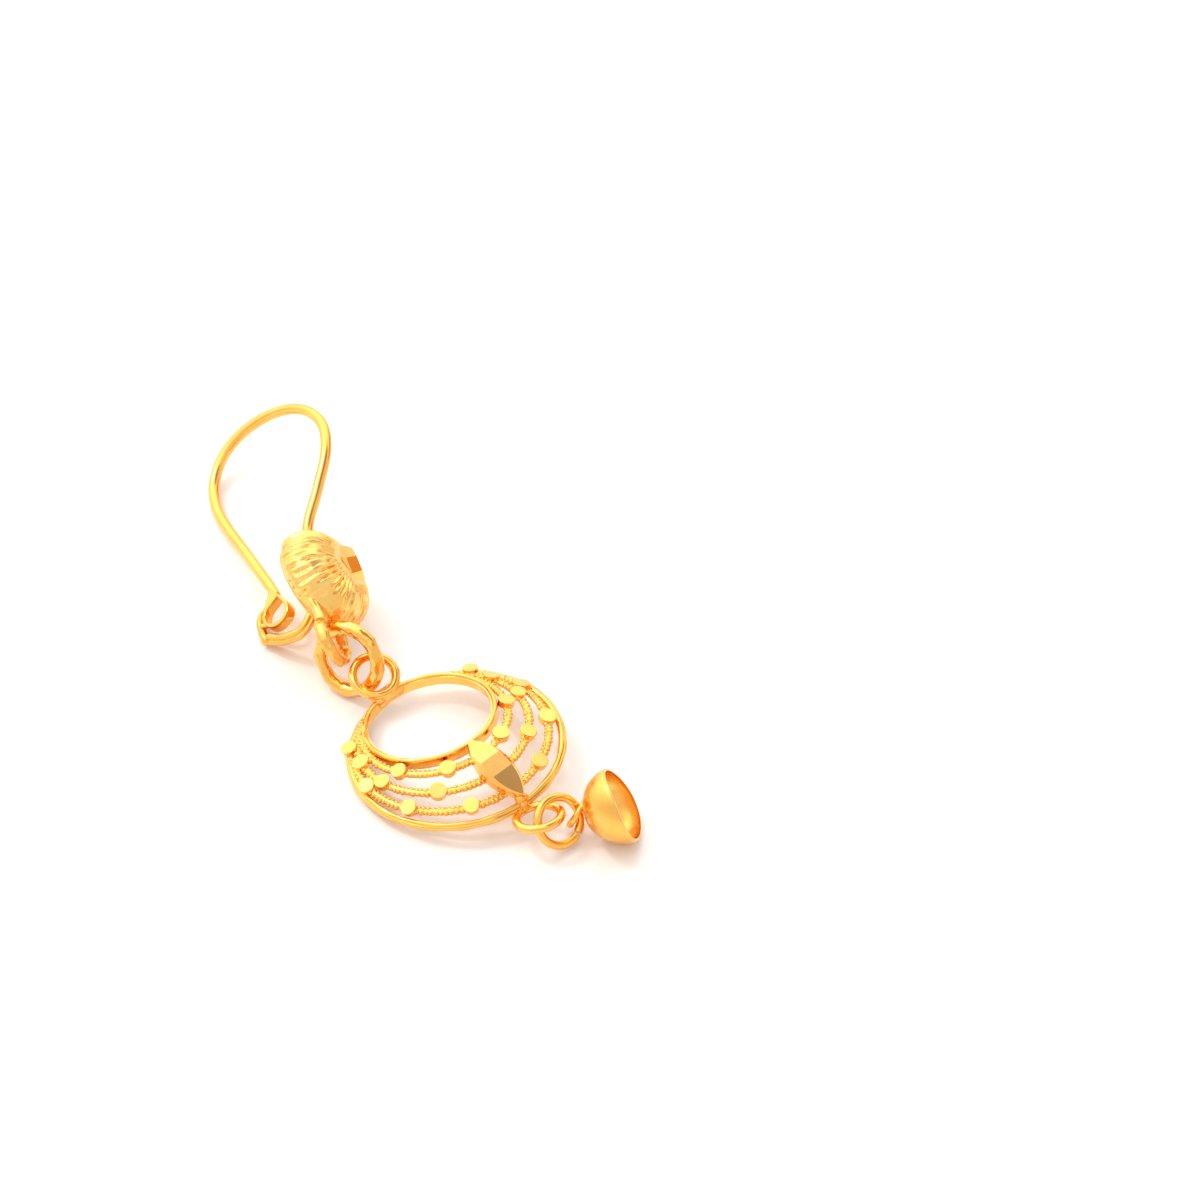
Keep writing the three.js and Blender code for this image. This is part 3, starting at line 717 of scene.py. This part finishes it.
def strand(name, share, ends):
    """A flat core wire on the dome, and a bead on either side of it at each step."""
    bm = bmesh.new()
    half = OPENING_HALF_ANGLE + (RIM_HALF_ANGLE - OPENING_HALF_ANGLE) * share
    step = math.degrees(STRAND["pitch"] / (DOME["radius"] * math.sin(half)))
    count = round(2 * ends / step)
    angles = [-ends + 2 * ends * i / count for i in range(count + 1)]
    stations = []
    for angle in angles:
        point, out = on_dome(share, angle)
        along = along_strand(share, angle)
        across = out.cross(along).normalized()
        wide = STRAND["core"] * STRAND["flatten"]
        stations.append(station(point, along, across, wide, STRAND["core"]))
    sweep(bm, stations, sides=10)
    draw = random.Random(name)
    for angle in angles:
        for row, offset in ((-1, 0), (1, 0.5)):
            size, slip = (1 + draw.uniform(-STRAND["uneven"], STRAND["uneven"]) for _ in "ab")
            at, out = on_dome(share, angle + (offset + slip - 1) * step)
            across = out.cross(along_strand(share, angle)).normalized()
            centre = at + across * row * STRAND["apart"] + out * STRAND["lift"]
            bmesh.ops.create_uvsphere(
                bm, u_segments=8, v_segments=6, radius=STRAND["bead"] * size,
                matrix=Matrix.Translation(centre),
            )
    piece(f"strand_{name}", bm, "pendant", BEADED_GOLD, PENDANT, sharp=80)


def rim():
    """The crescent's outer wire, grooved along one side."""
    bm = bmesh.new()
    groove_side = radians(RIM["groove_side"])
    torus(bm, RIM["radius"], RIM["wire"], steps=260, sides=32)
    for vert in bm.verts:
        middle = Vector((vert.co.x, vert.co.y, 0)).normalized() * RIM["radius"]
        from_middle = vert.co - middle
        angle = math.atan2(from_middle.z, from_middle.dot(middle) / RIM["radius"])
        depth = RIM["groove"] * max(math.cos(angle - groove_side), 0) ** RIM["sharp"]
        wander = 1 + noise.noise(vert.co / RIM["drift"])
        vert.co -= from_middle.normalized() * depth * wander
    hammer(bm, **DENTS["rim"])
    piece("rim_wire", bm, "pendant", DRAWN_GOLD, PENDANT)


def opening_collar():
    """A flat strip on edge round the opening, with a wire along its front edge."""
    lean = radians(OPENING["lean"])
    depth = DOME["radius"] * math.cos(OPENING_HALF_ANGLE)
    local = (
        Matrix.Translation((-depth * math.sin(lean), 0, SPHERE_CENTRE + depth * math.cos(lean)))
        @ Matrix.Rotation(-lean, 4, "Y")
    )
    inside = OPENING["radius"] - OPENING["wall"] / 2
    outside = OPENING["radius"] + OPENING["wall"] / 2
    low, high = -OPENING["height"] / 2, OPENING["height"] / 2
    corners = [(inside, low), (outside, low), (outside, high), (inside, high), (inside, low)]
    bm = bmesh.new()
    turned_shell(bm, [Vector((radius, 0, height)) for radius, height in corners], (0, 0, 1), 180)
    piece("opening_wall", bm, "pendant", CUT_GOLD, PENDANT, local)
    bm = bmesh.new()
    torus(bm, OPENING["radius"] + OPENING_WIRE["out"], OPENING_WIRE["radius"], steps=180, sides=14)
    hammer(bm, **DENTS["opening_wire"])
    local = local @ Matrix.Translation((0, 0, high - OPENING_WIRE["sunk"]))
    piece("opening_wire", bm, "pendant", DRAWN_GOLD, PENDANT, local)


def cut_discs():
    """Short rods cut flat on top, each a little tilted and a little wider at its top."""
    bm = bmesh.new()
    draw = random.Random(DISC["seed"])
    for share, angle in DISC_PAIRS:
        for side in (1, -1):
            point, out = on_dome(share, side * angle)
            upright = Vector((0, 0, 1)).rotation_difference(out).to_matrix().to_4x4()
            tips = [radians(draw.uniform(-DISC["tilt"], DISC["tilt"])) for _ in "xy"]
            tilt = Euler([*tips, 0]).to_matrix().to_4x4()
            place = Matrix.Translation(point + out * DISC["lift"]) @ upright @ tilt
            foot = DISC["radius"] * (1 + draw.uniform(-DISC["uneven"], DISC["uneven"]))
            bmesh.ops.create_cone(
                bm, cap_ends=True, segments=20, radius1=foot, radius2=foot * DISC["taper"],
                depth=DISC["height"], matrix=place,
            )
    ends = [edge for edge in bm.edges if any(len(face.verts) > 4 for face in edge.link_faces)]
    bmesh.ops.bevel(
        bm, geom=ends, offset=DISC["edge"], segments=2, profile=0.5, affect="EDGES", material=-1,
    )
    piece("cut_discs", bm, "pendant", CUT_GOLD, PENDANT, sharp=15)


def marquise():
    """A boat-shaped plate: a sloping border round three flat cuts along its length."""
    half, side = MARQUISE["length"] / 2, MARQUISE["width"] / 2
    arc = (half * half + side * side) / (2 * side)
    sweep_half = math.asin(half / arc)
    bm = bmesh.new()
    outline = []
    for way in (1, -1):
        for step in range(MARQUISE["steps"]):
            angle = sweep_half - 2 * sweep_half * step / MARQUISE["steps"]
            along, across = arc * math.sin(angle), arc * math.cos(angle) - arc + side
            outline.append(bm.verts.new((way * along, way * across, 0)))
    face = bm.faces.new(outline)
    bottom = -MARQUISE["height"] / 2
    bmesh.ops.translate(bm, vec=(0, 0, bottom), verts=bm.verts)
    grown = bmesh.ops.extrude_face_region(bm, geom=[face])["geom"]
    lifted = [item for item in grown if isinstance(item, bmesh.types.BMVert)]
    bmesh.ops.translate(bm, vec=(0, 0, MARQUISE["height"] - MARQUISE["border"]), verts=lifted)
    top = next(item for item in grown if isinstance(item, bmesh.types.BMFace))
    bmesh.ops.inset_region(
        bm, faces=[top], thickness=MARQUISE["border"], depth=MARQUISE["border"],
        use_even_offset=True,
    )
    height, reached, slope = -bottom - MARQUISE_TOP, MARQUISE_CUTS[0]["from"], 0
    for cut in MARQUISE_CUTS:
        height -= (cut["from"] - reached) * math.tan(slope)
        reached, slope = cut["from"], radians(cut["slope"])
        slice_off(bm, Vector((reached, 0, height)), Vector((math.sin(slope), 0, math.cos(slope))))
    piece("marquise_plate", bm, "pendant", CUT_GOLD, PENDANT, pose(**MARQUISE_AT), sharp=4)


def soldered_loop(name, size, at, lie, node):
    """A closed loop of round wire, soldered on where at says."""
    bm = bmesh.new()
    torus(bm, size["radius"], size["wire"], steps=96, sides=20)
    hammer(bm, **DENTS[name])
    piece(name, bm, lie, DRAWN_GOLD, node, loop_place(**at))


def solder():
    """The web under the top loop and the lumps at the foot, where the rim's ends are joined."""
    bm = bmesh.new()
    size = Matrix.Diagonal((SOLDER_TAB["length"], SOLDER_TAB["width"], SOLDER_TAB["height"], 1))
    place = Matrix.Translation((SOLDER_TAB["down"], 0, SOLDER_TAB["front"]))
    bmesh.ops.create_cube(bm, size=1, matrix=place @ size)
    bmesh.ops.bevel(
        bm, geom=bm.edges[:], offset=SOLDER_TAB["edge"], segments=4, profile=0.5,
        affect="EDGES", material=-1,
    )
    for lump in SOLDER_LUMPS:
        place = Matrix.Translation((lump["down"], lump["across"], lump["front"]))
        bmesh.ops.create_uvsphere(
            bm, u_segments=24, v_segments=16, radius=lump["radius"], matrix=place,
        )
    hammer(bm, **DENTS["solder"])
    piece("pendant_solder", bm, "pendant", SOLDERED_GOLD, PENDANT)


rim()
opening_collar()
for strand_name, sizes in STRANDS.items():
    strand(strand_name, **sizes)
cut_discs()
marquise()
soldered_loop("top_loop", TOP_LOOP, TOP_LOOP_AT, "pendant", PENDANT)
soldered_loop("foot_loop", FOOT_LOOP, FOOT_LOOP_AT, "pendant", PENDANT)
solder()

# ---------------------------------------------------------------- jump ring and bell cup


def jump_ring():
    """A round wire ring, left open by a small gap."""
    bm = bmesh.new()
    gap = radians(JUMP_RING["gap"])
    torus(
        bm, JUMP_RING["radius"], JUMP_RING["wire"], steps=90, sides=20,
        sweep_angle=math.tau - gap, start=gap / 2,
    )
    piece("jump_ring_wire", bm, "jump_ring", DRAWN_GOLD, "jump_ring")


def bell_cup():
    """A thin round bell open toward +X, its wall thinner at the rim and its mouth a little bent."""
    bm = bmesh.new()
    outer, inner = [], []
    for step in range(CUP["steps"] + 1):
        share = step / CUP["steps"]
        angle = math.pi / 2 * share
        hollow = CUP["radius"] - CUP["wall"] - (CUP["rim"] - CUP["wall"]) * rise(share)
        outer.append(Vector((-CUP["radius"] * math.cos(angle), CUP["radius"] * math.sin(angle), 0)))
        inner.append(Vector((-hollow * math.cos(angle), hollow * math.sin(angle), 0)))
    edge = [Vector((CUP["mouth"], reach, 0)) for reach in (CUP["lip"], CUP["lip"] - CUP["rim"])]
    turned_shell(bm, outer + edge + inner[::-1], (1, 0, 0), CUP["sides"])
    # The bend grows from half way up the bell to its mouth.
    half = CUP["radius"] / 2
    for vert in bm.verts:
        around = math.atan2(vert.co.z, vert.co.y) - radians(CUP_WARP["way"])
        share = rise((vert.co.x + half) / (CUP["mouth"] + half))
        vert.co.x += CUP_WARP["swing"] * share * math.cos(2 * around)
    hammer(bm, **DENTS["bell_cup"])
    piece("bell_cup_shell", bm, "cup", SPUN_GOLD, "bell_cup")


jump_ring()
bell_cup()
soldered_loop("bell_cup_loop", CUP_LOOP, CUP_LOOP_AT, "cup", "bell_cup")

# ---------------------------------------------------------------- table, light and camera

SIDE_ANGLE = radians(57)  # how far the view is turned round the earring
VIEW_WIDTH = 84.0
VIEW_MIDDLE = Vector((1.69, 17.03, 0.16))  # the point that the camera looks at
CAMERA_DISTANCE = 1600.0
CAMERA_HEIGHT = radians(45)
BOARD_HALF = 2.5  # metres, so that its edges are out of sight


def seen(right, away, up):
    """A direction given as the viewer has it, turned into the row frame."""
    return Matrix.Rotation(SIDE_ANGLE, 3, "Z") @ Vector((right, away, up)).normalized()


# The tent's light is high within inner degrees of way, and falls to low by outer degrees.
TENT = {"way": seen(-0.3, 0.5, 0.85), "inner": 15, "outer": 75, "low": 0.93, "high": 1.9}
# A grey card overhead gives the flats their dark tones, and a gold one low on the right warms
# them. Each has its colour within inner degrees of way, and is clear from outer degrees on.
CARDS = [
    {
        "way": seen(0.34, 0.05, 0.94), "inner": 8, "outer": 28,
        "clear": "#FFFDFA", "colour": "#938D9C",
    },
    {
        "way": seen(0.85, 0.5, 0.15), "inner": 8, "outer": 24,
        "clear": "#FFFFFF", "colour": "#EDB070",
    },
]
# A small square lamp: its distance and size are in metres, and its power in watts.
KEY = {"way": seen(-0.6, 0.3, 0.9), "distance": 0.8, "size": 0.12, "power": 1.2}


def table_top():
    """White lacquered board: a bright matt body under a faint soft reflection."""
    bm = bmesh.new()
    bmesh.ops.create_grid(bm, x_segments=1, y_segments=1, size=BOARD_HALF)
    mesh = bpy.data.meshes.new("table_top")
    bm.to_mesh(mesh)
    bm.free()
    board = bpy.data.objects.new("table_top", mesh)
    bpy.context.scene.collection.objects.link(board)
    material = bpy.data.materials.new("white_lacquered_board")
    material.use_nodes = True
    shader = material.node_tree.nodes["Principled BSDF"]
    shader.inputs["Base Color"].default_value = linear("#FAF8F6")
    shader.inputs["Roughness"].default_value = 0.3
    mesh.materials.append(material)


def glow(tree, way, inner, outer, low, high):
    """Falls from high to low as a direction turns from inner to outer degrees away from way."""
    direction = add(tree, "ShaderNodeTexCoord").outputs["Generated"]
    facing = add(tree, "ShaderNodeVectorMath", {0: direction, 1: way}, operation="DOT_PRODUCT")
    shade = add(
        tree, "ShaderNodeMapRange",
        {"Value": facing.outputs["Value"], "From Min": math.cos(radians(outer)),
         "From Max": math.cos(radians(inner)), "To Min": low, "To Max": high},
        interpolation_type="SMOOTHSTEP",
    )
    return shade.outputs["Result"]


def studio():
    """A white tent, brightest above and behind, with two cards in it."""
    world = bpy.data.worlds.new("white_tent")
    bpy.context.scene.world = world
    world.use_nodes = True
    tree = world.node_tree
    background = tree.nodes["Background"]
    tree.links.new(glow(tree, **TENT), background.inputs["Strength"])
    tints = []
    for card in CARDS:
        facing = glow(tree, card["way"], card["inner"], card["outer"], low=0, high=1)
        tint = add(tree, "ShaderNodeValToRGB", {"Fac": facing})
        for stop, colour in zip(tint.color_ramp.elements, (card["clear"], card["colour"])):
            stop.color = linear(colour)
        tints.append(tint.outputs["Color"])
    grey, gold = tints
    cards = add(tree, "ShaderNodeVectorMath", {0: grey, 1: gold}, operation="MULTIPLY")
    tree.links.new(cards.outputs["Vector"], background.inputs["Color"])


def soft_box(name, way, distance, size, power):
    light = bpy.data.lights.new(name, "AREA")
    light.shape = "SQUARE"
    light.size = size
    light.energy = power
    lamp = bpy.data.objects.new(name, light)
    lamp.location = way * distance
    lamp.rotation_euler = (-way).to_track_quat("-Z", "Y").to_euler()
    bpy.context.scene.collection.objects.link(lamp)


def camera():
    data = bpy.data.cameras.new("camera")
    data.sensor_width = 36
    data.lens = data.sensor_width * CAMERA_DISTANCE / VIEW_WIDTH
    data.clip_start, data.clip_end = 0.01, 20
    back = seen(0, -math.cos(CAMERA_HEIGHT), math.sin(CAMERA_HEIGHT))
    eye = bpy.data.objects.new("camera", data)
    eye.location = (VIEW_MIDDLE + back * CAMERA_DISTANCE) * MM
    eye.rotation_euler = (-back).to_track_quat("-Z", "Y").to_euler()
    bpy.context.scene.collection.objects.link(eye)
    bpy.context.scene.camera = eye


table_top()
studio()
soft_box("tent_key", **KEY)
camera()
bpy.context.scene.view_settings.view_transform = "Standard"
